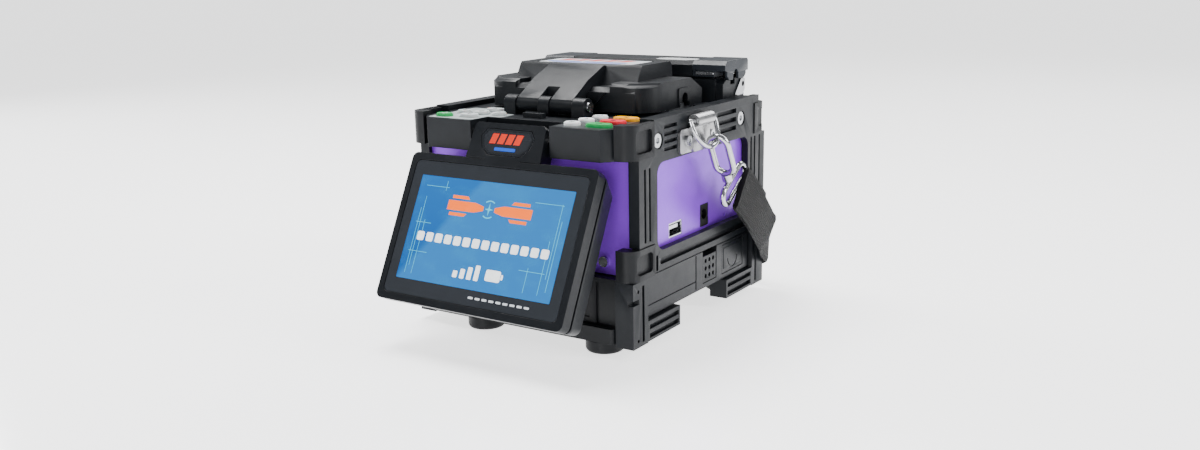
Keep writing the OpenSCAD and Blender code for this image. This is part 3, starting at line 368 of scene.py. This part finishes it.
softenedParts = {
    # part: (material, edge radius in millimetres)
    "guard_right": (charcoal, 0.45), "guard_left": (charcoal, 0.45),
    "deck_cover": (charcoal, 0.4), "corner_bumpers": (bumperRubber, 0.6),
    "base_tray": (baseBlack, 0.4), "feet": (bumperRubber, 0.4),
    "wind_cover": (coverBlack, 0.5), "heater_lid": (charcoal, 0.4),
    "heater_base": (charcoal, 0.35), "heater_caps": (slatePlastic, 0.4),
    "screen_shell": (charcoal, 0.5), "screen_bezel": (bezelPlastic, 0.6),
    "battery_case": (batteryGrey, 0.25), "latch_slider": (charcoal, 0.2),
    "release_button": (charcoal, 0.2), "strap_brackets": (bracketSteel, 0.25),
}
for part, (material, radius) in softenedParts.items():
    softenedPart(part, material, radius)

plainParts = {
    "front_panel": purple, "rear_panel": purple, "side_panel_right": purple, "side_panel_left": purple,
    "guard_screws": brightSteel, "panel_screws": brightSteel, "usb_socket": brightSteel,
    "hinge_pins": brightSteel, "d_rings": chrome, "snap_hooks": chrome, "tripod_insert": brassInsert,
    "keypad_sheets": keySheet, "main_board": boardGreen, "arc_transformer": pottingAmber,
    "align_motors": stageMetal, "camera_barrels": blackAnodised, "power_socket": socketBlack,
    "splice_block": stageMetal, "v_grooves": ceramicWhite, "electrodes": tungsten,
    "electrode_clamps": blackAnodised, "heater_plate": stageMetal, "screen_glass": borderGlass,
    "lcd_panel": borderGlass, "screen_badge": badgeGloss, "cover_label": badgeGloss,
    "cover_lamp": lampWhite, "sheath_clamp_right": charcoal,
    "sheath_clamp_left": charcoal, "heater_window": heaterWindowPaintedReflection, "battery_cells": cellBlue,
    "key_power": greenKey, "key_arc": greenKey, "key_stop": redKey, "key_heat": amberKey,
    "key_menu": whiteKey, "key_back": whiteKey, "key_reset": whiteKey, "key_up": greyKey,
    "key_down": greyKey, "key_left": greyKey, "key_right": greyKey, "key_enter": greyKey,
}
for part, material in plainParts.items():
    setFinish(nodes[part], material)
print("parts finished")


# thin pieces laid on a face: outlines and heights are in the face's own millimetres
def ringOn(bm, outline, height, face):
    return [bm.verts.new(face @ Vector((x * mm, y * mm, height * mm))) for x, y in outline]


def wallBetween(bm, low, high):
    for k in range(len(low)):
        n = (k + 1) % len(low)
        bm.faces.new((low[k], low[n], high[n], high[k]))


def prismOn(bm, outline, low, high, face):
    bottom = ringOn(bm, outline, low, face)
    top = ringOn(bm, outline, high, face)
    bm.faces.new(top)
    bm.faces.new(list(reversed(bottom)))
    wallBetween(bm, bottom, top)


def roundedBox(x, y, width, height, radius, steps=3):
    points = []
    for sideX, sideY, start in ((1, 1, 0), (-1, 1, 90), (-1, -1, 180), (1, -1, 270)):
        cornerX = x + sideX * (width / 2 - radius)
        cornerY = y + sideY * (height / 2 - radius)
        for k in range(steps + 1):
            turn = math.radians(start + 90 * k / steps)
            points.append((cornerX + radius * math.cos(turn), cornerY + radius * math.sin(turn)))
    return points


def arcBand(x, y, outer, inner, start, end):
    steps = 24
    turns = [math.radians(start + (end - start) * k / steps) for k in range(steps + 1)]
    outside = [(x + outer * math.cos(a), y + outer * math.sin(a)) for a in turns]
    return outside + [(x + inner * math.cos(a), y + inner * math.sin(a)) for a in reversed(turns)]


def laidPieces(name, outlines, heights, face, body, material):
    bm = bmesh.new()
    for outline in outlines:
        prismOn(bm, outline, *heights, face)
    bmesh.ops.recalc_face_normals(bm, faces=bm.faces)
    return pieceFrom(name, finishedMesh(name, bm), body, material)


# faces that look out to the right (side 1) or the left (side -1), and to the front on either side
def sideFace(side, distance=0.0):
    return Matrix(((0, 0, side, side * distance * mm), (1, 0, 0, 0), (0, 1, 0, 0), (0, 0, 0, 1)))


def frontFace(side, distance):
    return Matrix(((side, 0, 0, 0), (0, 0, -1, distance * mm), (0, 1, 0, 0), (0, 0, 0, 1)))


bothSides = ((1, "right"), (-1, "left"))


screenSetup = {
    # millimetres across, up and out from the middle of the screen's front plane
    "middle": (0, -77.65, 60.2), "lean": 26.6, "lit": (95, 53.9), "field": (-0.24, -0.19),
    "mark": (-0.3, 13.2), "markHeight": (-0.19, -0.16), "sparkHeight": (-0.19, -0.15),
    "fibreEnd": [(3.4, 1.1), (9, 2.5), (26, 2.5), (26, -2.5), (9, -2.5), (3.4, -1.1)],
    "fibreRib": [(13, 3.6), (24, 3.6), (24, 5.2), (14.4, 5.2)],
    "arc": (4.6, 4.0, 38),  # outer and inner radius, and degrees to each side of its middle
    "segments": 14, "rowY": -4.4, "rowWidth": 83, "rowGap": 1.4,
    "iconY": -18.6, "iconX": -11, "iconPitch": 4.4,
    "strokeWidth": 0.22, "strokeHeight": (-0.19, -0.17),
    # thin traces: an upright one's x and a level one's y, then its two ends
    "upright": [(-43, -24, 10), (-41.4, -20, 16), (-38.6, -24, 4), (43.6, -22, 12), (42, -16, 20),
                (39.4, -24, 2), (-30, 20, 25), (31, -24, -12)],
    "level": [(21.6, -43, -28), (19.4, 26, 43), (-12.6, -44, -32), (-13.8, 26, 41), (2.4, -44, -34)],
    "strip": (9, 2, 4.2, -30.7), "stripHeight": (-0.25, -0.2),  # count, first x, pitch, y
}
onScreen = (Matrix.Translation(Vector(screenSetup["middle"]) * mm)
            @ Matrix.Rotation(math.radians(90 - screenSetup["lean"]), 4, "X"))


def makeScreenField(setup):
    width, height = setup["lit"]
    outline = roundedBox(0, 0, width, height, 0.4, 2)
    plate = laidPieces("screen_picture", [outline], setup["field"], onScreen, "screen", screenPicture)
    flat = onScreen.inverted()
    layer = plate.data.uv_layers.new(name="face")
    for loop in plate.data.loops:
        at = flat @ plate.data.vertices[loop.vertex_index].co
        layer.data[loop.index].uv = (at.x / (width * mm) + 0.5, at.y / (height * mm) + 0.5)


def makeFibreMark(setup):
    # two cleaved fibre ends that meet in an arc
    x, y = setup["mark"]
    outer, inner, half = setup["arc"]
    ends, arcs = [], []
    for side in (-1, 1):
        ends.append([(x + side * u, y + v) for u, v in setup["fibreEnd"]])
        for up in (1, -1):
            ends.append([(x + side * u, y + up * v) for u, v in setup["fibreRib"]])
        middle = 180 - 90 * side
        arcs.append(arcBand(x, y, outer, inner, middle - half, middle + half))
    laidPieces("screen_mark", ends, setup["markHeight"], onScreen, "screen", orangeMark)
    spark = []
    for k in range(8):
        wide, tall = (0.7, 0.7) if k % 2 else (2.6, 3.4)
        turn = math.radians(45 * k)
        spark.append((x + wide * math.cos(turn), y + tall * math.sin(turn)))
    laidPieces("screen_spark", [spark] + arcs, setup["sparkHeight"], onScreen, "screen", cyanMark)


def makeScreenSigns(setup):
    # a segmented progress row, a level scale and a small battery sign
    pitch = setup["rowWidth"] / setup["segments"]
    left, width = -setup["rowWidth"] / 2, pitch - setup["rowGap"]
    row = [roundedBox(left + pitch * (k + 0.5), setup["rowY"], width, 4.6, 0.9)
           for k in range(setup["segments"])]
    y = setup["iconY"]
    icons = [roundedBox(setup["iconX"] + setup["iconPitch"] * k, y - 2 + 0.7 * k, 2.8, 3.4 + 1.4 * k, 0.5)
             for k in range(4)]
    icons += [roundedBox(12, y, 9, 5.6, 1), roundedBox(17.4, y, 1.2, 2.6, 0.4)]
    laidPieces("screen_signs", row + icons, setup["markHeight"], onScreen, "screen", whiteMark)
    thin = setup["strokeWidth"]
    strokes = [[(x, low), (x + thin, low), (x + thin, high), (x, high)] for x, low, high in setup["upright"]]
    strokes += [[(low, y), (high, y), (high, y + thin), (low, y + thin)] for y, low, high in setup["level"]]
    laidPieces("screen_traces", strokes, setup["strokeHeight"], onScreen, "screen", cyanMark)
    # plain light strip on the glass's lower border
    count, x, pitch, y = setup["strip"]
    strip = [roundedBox(x + pitch * k, y, 3, 1.1, 0.5) for k in range(count)]
    laidPieces("screen_border_marks", strip, setup["stripHeight"], onScreen, "screen", whiteInk)


badgeSetup = {
    "bars": (4, -10.6, 5, 46.6, 51.8, 3.8, 1.4),  # count, first x, pitch, low, high, width, lean
    "line": (0, 43.9, 13, 1.7, 0.6),
    "rim": [(-15.6, 50.5), (-13.2, 53.7), (13.2, 53.7), (15.6, 50.5),
            (13.7, 44.3), (9.5, 41.3), (-9.5, 41.3), (-13.7, 44.3)],
    "rimMiddle": 47.6, "rimInside": (0.955, 0.91),
    "inkHeight": (-0.1, 0.0), "rimHeight": (-0.1, 0.02),
}


def slantedBars(count, x, pitch, low, high, width, lean):
    # bars side by side that lean to the right
    bars = []
    for k in range(count):
        left = x + pitch * k
        bars.append([(left, low), (left + width, low), (left + lean + width, high), (left + lean, high)])
    return bars


def makeBadgeMarks(setup):
    # the badge's red and blue print carries a faint painted glow
    blue = [roundedBox(*setup["line"])]
    laidPieces("badge_marks_red", slantedBars(*setup["bars"]), setup["inkHeight"], onScreen, "screen",
               redInkPaintedGlow)
    laidPieces("badge_marks_blue", blue, setup["inkHeight"], onScreen, "screen", blueInkPaintedGlow)
    outer, middle = setup["rim"], setup["rimMiddle"]
    inX, inY = setup["rimInside"]
    inner = [(x * inX, middle + (y - middle) * inY) for x, y in outer]
    bars = []
    for k in range(len(outer)):
        n = (k + 1) % len(outer)
        bars.append([outer[k], outer[n], inner[n], inner[k]])
    laidPieces("badge_rim", bars, setup["rimHeight"], onScreen, "screen", charcoal)


labelSetup = {
    "top": 135.9, "fieldHeight": (0, 0.03), "inkHeight": (0.03, 0.06),
    "field": (0, 23.7, 60, 22.4, 1.4), "bars": (5, -25, 9.4, 24.5, 32.6, 6, 2.6),
    "lines": [(-17, 19.4, 22, 3.2, 1), (9.5, 19.4, 27, 3.2, 1), (0, 14.8, 44, 1.6, 0.7)],
}


def makeLabelMarks(setup):
    # a generic striped field in the label's three inks; the red and blue inks carry a faint painted glow
    onLabel = Matrix.Translation(Vector((0, 0, setup["top"])) * mm)
    field = [roundedBox(*setup["field"], 5)]
    laidPieces("label_field", field, setup["fieldHeight"], onLabel, "cover", whiteInk)
    blues = [roundedBox(*line, 5) for line in setup["lines"]]
    laidPieces("label_marks_red", slantedBars(*setup["bars"]), setup["inkHeight"], onLabel, "cover",
               redInkPaintedGlow)
    laidPieces("label_marks_blue", blues, setup["inkHeight"], onLabel, "cover", blueInkPaintedGlow)


heaterSetup = {
    "strip": (48.1, 128.15, 10.2, 1.5, 0.3), "stripFace": 59.8, "stripHeight": (-0.6, 0.9),
    "plateFace": 58.5, "plateThick": 0.7,
    "plate": [(74.2, 114.6), (84.4, 114.9), (86.8, 117.4), (87, 123.4), (82.2, 123.6)],
    "hole": (84.4, 120.6), "holeRadius": 1.5, "holeSides": 24,
}


def makeHeaterStrip(setup, side, word):
    # polished strip under the cap's lip
    strip = laidPieces("heater_strip_" + word, [roundedBox(*setup["strip"], 2)], setup["stripHeight"],
                       frontFace(side, setup["stripFace"]), "lid", brightSteel)
    smoothByAngle(strip, 40)


def makeHeaterPlate(setup, side, word):
    # pierced plate on the end bracket
    y, z = setup["hole"]
    sides, radius = setup["holeSides"], setup["holeRadius"]
    turns = [math.tau * k / sides for k in range(sides)]
    hole = [(y + radius * math.cos(a), z + radius * math.sin(a)) for a in turns]
    face = sideFace(side, setup["plateFace"])
    bm = bmesh.new()
    layers = []
    for height in (0, setup["plateThick"]):
        rims = [ringOn(bm, outline, height, face) for outline in (setup["plate"], hole)]
        edges = []
        for rim in rims:
            edges += [bm.edges.new((rim[k], rim[(k + 1) % len(rim)])) for k in range(len(rim))]
        bmesh.ops.triangle_fill(bm, use_beauty=True, edges=edges)
        layers.append(rims)
    for low, high in zip(*layers):
        wallBetween(bm, low, high)
    bmesh.ops.recalc_face_normals(bm, faces=bm.faces)
    name = "heater_plate_" + word
    pieceFrom(name, finishedMesh(name, bm), "main_unit", chrome)


skirtSetup = {
    # outlines seen from the side, as places from front to back and above the floor
    "front": [(62.4, 130), (62.4, 126.6), (64.8, 124.2), (70, 124.2), (70, 130)],
    "back": [(76, 130), (76, 124.2), (83.4, 124.2), (85.6, 126.4), (85.6, 130)],
    "reach": (58.8, 60.45), "edgeRadius": 0.3, "fromAngle": 30,
}


def makeCapSkirts(setup):
    # end cheeks of the heater's caps, each split by the fibre's way out
    for side, word in bothSides:
        skirt = laidPieces("heater_skirt_" + word, [setup["front"], setup["back"]], setup["reach"],
                           sideFace(side), "lid", slatePlastic)
        addEdgeRadius(skirt, setup["edgeRadius"], setup["fromAngle"])


keySignSetup = {"top": 113.6, "size": 1.5, "thick": 0.04}
keySigns = {
    # key: the middle of its top, its sign, its slot
    "key_arc": ((47, -44.5), "ring", "green_key"), "key_stop": ((47, -32.2), "square", "red_key"),
    "key_heat": ((47, -19.9), "bars", "amber_key"), "key_power": ((-48, -46), "ring", "green_key"),
    "key_menu": ((31.5, -44.5), "bars", "white_key"), "key_back": ((31.5, -32.2), "arrow", "white_key"),
    "key_reset": ((31.5, -19.9), "ring", "white_key"), "key_up": ((-34.5, -20.7), "arrow", "grey_key"),
    "key_down": ((-33.5, -43.7), "arrowDown", "grey_key"),
    "key_left": ((-46, -32.2), "arrowLeft", "grey_key"),
    "key_right": ((-23, -32.2), "arrowRight", "grey_key"),
    "key_enter": ((-34.5, -32.2), "dot", "grey_key"),
}
arrowTurns = {"arrow": 0, "arrowLeft": 90, "arrowDown": 180, "arrowRight": 270}  # degrees


def signOutlines(kind, size):
    if kind == "ring":
        return [arcBand(0, 0, size, size * 0.7, 110, 430), roundedBox(0, size, 0.45, size * 0.9, 0.2, 2)]
    if kind == "square":
        return [roundedBox(0, 0, size * 1.6, size * 1.6, 0.3, 2)]
    if kind == "bars":
        return [roundedBox(0, k * size * 0.6, size * 2, 0.5, 0.24, 2) for k in (-1, 0, 1)]
    if kind == "dot":
        return [arcBand(0, 0, size, size * 0.45, 0, 360)]
    turn = math.radians(arrowTurns[kind])
    corners = [(-size, -size * 0.6), (size, -size * 0.6), (0, size)]
    return [[(x * math.cos(turn) - y * math.sin(turn), x * math.sin(turn) + y * math.cos(turn))
             for x, y in corners]]


def makeKeySigns(signs, setup):
    for key, (middle, kind, slot) in signs.items():
        face = Matrix.Translation(Vector((*middle, setup["top"])) * mm)
        ink = whiteInk if key == "key_power" else darkInk
        laidPieces(key + "_mark", signOutlines(kind, setup["size"]), (0, setup["thick"]), face,
                   key + "_body", ink)


makeScreenField(screenSetup)
makeFibreMark(screenSetup)
makeScreenSigns(screenSetup)
makeBadgeMarks(badgeSetup)
makeLabelMarks(labelSetup)
for side, word in bothSides:
    makeHeaterStrip(heaterSetup, side, word)
    makeHeaterPlate(heaterSetup, side, word)
makeCapSkirts(skirtSetup)
makeKeySigns(keySigns, keySignSetup)
print("signs, label and heater fittings made")

# carrying strap: places on its middle line, each with the direction across the webbing there
strapSetup = {
    "width": 25, "thick": 1.5, "steps": 8,
    "sewnPoints": 4, "sewnThick": 1.3, "sewnOffset": 1.5,
    "halfRoute": [
        ((81.6, 36, 71.6), (0, 8, 5)), ((81.4, 44, 65.6), (0, 8, 5)), ((81.1, 52, 59.4), (0, 8, 5)),
        ((80.4, 60, 53.2), (0, 8, 5)), ((79.4, 68, 46.8), (0, 8, 5)), ((78.2, 76, 40.4), (0, 8, 5)),
        ((76.8, 83, 35), (0, 8, 5)), ((73, 91, 30.5), (-2, 7, 7)), ((68, 99.5, 27), (-2, 4, 9)),
        ((56, 103, 22), (-2, 2, 9)), ((44, 107, 16), (-1, 3, 9)), ((32, 110.5, 12.4), (0, 5, 8)),
        ((20, 113.5, 8.4), (0, 8, 5)), ((10, 115.3, 4.4), (0, 9, 2)),
    ],
    "middle": ((0, 116, 1.4), (0, 1, 0)),
}


def curveThrough(points, steps):
    # smooth curve through the points, with the same number of steps between each pair
    out = []
    for i in range(len(points) - 1):
        before, here = points[max(i - 1, 0)], points[i]
        after, later = points[i + 1], points[min(i + 2, len(points) - 1)]
        for k in range(steps):
            t = k / steps
            out.append(0.5 * (2 * here + (after - before) * t
                              + (2 * before - 5 * here + 4 * after - later) * t * t
                              + (3 * here - before - 3 * after + later) * t ** 3))
    out.append(points[-1])
    return out


def webbingMaterial():
    material, tree, shader = newMaterial("webbing")
    uv = addNode(tree, "ShaderNodeUVMap").outputs[0]
    ribs = addNode(tree, "ShaderNodeTexWave", {"Vector": uv, "Scale": 5.2, "Distortion": 0.0},
                   wave_type="BANDS", bands_direction="X", wave_profile="SIN").outputs["Fac"]
    picks = addNode(tree, "ShaderNodeTexWave", {
        "Vector": uv, "Scale": 26.0, "Distortion": 0.6, "Detail": 1.0},
        wave_type="BANDS", bands_direction="Y", wave_profile="SIN").outputs["Fac"]
    woven = mathNode(tree, "MULTIPLY", ribs, picks)
    tree.links.new(blendColours(tree, woven, (0.0012, 0.0012, 0.0014), (0.0070, 0.0071, 0.0080)),
                   shader.inputs["Base Color"])
    tree.links.new(spread(tree, noiseAt(tree, 900, 3), 0.62, 0.8), shader.inputs["Roughness"])
    tree.links.new(bumpFrom(tree, woven, 0.8, 0.0005), shader.inputs["Normal"])
    shader.inputs["Specular IOR Level"].default_value = 0.15
    shader.inputs["Sheen Weight"].default_value = 0.04
    shader.inputs["Sheen Roughness"].default_value = 0.4
    return material


def ribbonMesh(name, centres, acrosses, width, thick):
    # closed ribbon with rounded edges; the weave's coordinates run across and along it
    bm = bmesh.new()
    weave = bm.loops.layers.uv.new("weave")
    rings, lengths, run = [], [], 0.0
    across = 12
    outline = [(k / across * 2 - 1, 1) for k in range(across + 1)]
    outline += [(u, -1) for u, face in reversed(outline)]
    for i, centre in enumerate(centres):
        ahead = (centres[min(i + 1, len(centres) - 1)] - centres[max(i - 1, 0)]).normalized()
        side = acrosses[i] - ahead * acrosses[i].dot(ahead)
        side.normalize()
        out = ahead.cross(side)
        if i:
            run += (centre - centres[i - 1]).length
        lengths.append(run)
        ring = []
        for u, face in outline:
            edge = min(1.0, (1 - abs(u)) * width / 2 / (thick * 0.5))
            lift = thick / 2 * math.sqrt(max(0.0, 1 - (1 - edge) ** 2)) if edge < 1 else thick / 2
            ring.append(bm.verts.new(centre + side * (u * width / 2) + out * (face * lift)))
        rings.append(ring)
    count = len(outline)
    for i in range(len(rings) - 1):
        for k in range(count):
            n = (k + 1) % count
            face = bm.faces.new((rings[i][k], rings[i][n], rings[i + 1][n], rings[i + 1][k]))
            us = (outline[k][0], outline[n][0], outline[n][0], outline[k][0])
            vs = (lengths[i], lengths[i], lengths[i + 1], lengths[i + 1])
            for loop, u, v in zip(face.loops, us, vs):
                loop[weave].uv = ((u + 1) / 2, v / width)
    bm.faces.new(list(reversed(rings[0])))
    bm.faces.new(rings[-1])
    bmesh.ops.remove_doubles(bm, verts=bm.verts, dist=0.002 * mm)
    bmesh.ops.recalc_face_normals(bm, faces=bm.faces)
    return finishedMesh(name, bm), run


webbing = webbingMaterial()


def makeWebbing(name, route, thick, setup):
    # a length of webbing along the route, and how long it is when flat
    centres = curveThrough([Vector(place) * mm for place, wide in route], setup["steps"])
    acrosses = curveThrough([Vector(wide).normalized() for place, wide in route], setup["steps"])
    mesh, length = ribbonMesh(name, centres, acrosses, setup["width"] * mm, thick * mm)
    strap = pieceFrom(name, mesh, "main_unit", webbing)
    smoothByAngle(strap, 50)
    return strap, length


def onOtherSide(route):
    return [((-x, y, z), (-u, v, w)) for (x, y, z), (u, v, w) in route]


def makeStrap(setup):
    half = setup["halfRoute"]
    route = half + [setup["middle"]] + onOtherSide(reversed(half))
    strap, length = makeWebbing("strap_webbing", route, setup["thick"], setup)
    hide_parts("strap")
    print("strap length", round(length, 3))
    # the end turned back round the hook's eye and sewn down on the webbing
    lifted = [((x + setup["sewnOffset"], y, z), wide) for (x, y, z), wide in half[:setup["sewnPoints"]]]
    for word, path in (("right", lifted), ("left", onOtherSide(lifted))):
        layer, length = makeWebbing("strap_sewn_end_" + word, path, setup["sewnThick"], setup)


makeStrap(strapSetup)

# floor, light and backdrop
stageSetup = {
    "floor": 9.0, "glow": 1.7, "roughness": 0.14,
    "world": 0.42, "worldColour": (0.95, 0.97, 1.0, 1),
    "softboxes": {
        # name: (place, aimed at, width and height in metres, watts)
        "softboxTop": ((-0.35, 0.15, 1.0), (0, 0, 0.1), (0.6, 0.5), 22),
        "softboxLeft": ((-1.25, 0.1, 0.6), (0, -0.02, 0.08), (0.4, 0.6), 14),
        "softboxFront": ((0.35, -1.5, 0.35), (0, -0.05, 0.06), (0.7, 0.3), 9),
        "softboxSide": ((1.2, 0.35, 0.65), (0.06, 0.02, 0.07), (0.3, 0.7), 13),
        "softboxBack": ((0.1, 1.2, 0.9), (0, 0.05, 0.1), (0.9, 0.4), 10),
    },
}


def makeFloor(setup):
    bm = bmesh.new()
    bmesh.ops.create_grid(bm, x_segments=1, y_segments=1, size=setup["floor"])
    floor = bpy.data.objects.new("floor", finishedMesh("floor", bm))
    bpy.context.scene.collection.objects.link(floor)
    material, tree, shader = newMaterial("floorPaper")
    cloud = spread(tree, noiseAt(tree, 3, 2), 0, 1)
    tree.links.new(blendColours(tree, cloud, (0.86, 0.86, 0.87), (0.88, 0.88, 0.89)),
                   shader.inputs["Base Color"])
    shader.inputs["Roughness"].default_value = setup["roughness"]
    shader.inputs["Emission Color"].default_value = (1, 1, 1, 1)
    shader.inputs["Emission Strength"].default_value = setup["glow"]
    setFinish(floor, material)


def makeWorld(setup):
    world = bpy.data.worlds.new("studio")
    world.use_nodes = True
    background = world.node_tree.nodes["Background"]
    background.inputs["Color"].default_value = setup["worldColour"]
    background.inputs["Strength"].default_value = setup["world"]
    bpy.context.scene.world = world


def addSoftbox(name, place, aim, size, power):
    lamp = bpy.data.lights.new(name, "AREA")
    lamp.shape = "RECTANGLE"
    lamp.size, lamp.size_y = size
    lamp.energy = power
    box = bpy.data.objects.new(name, lamp)
    box.location = Vector(place)
    box.rotation_euler = (Vector(aim) - Vector(place)).to_track_quat("-Z", "Y").to_euler()
    bpy.context.scene.collection.objects.link(box)


makeFloor(stageSetup)
makeWorld(stageSetup)
for name, settings in stageSetup["softboxes"].items():
    addSoftbox(name, *settings)
print("stage set")
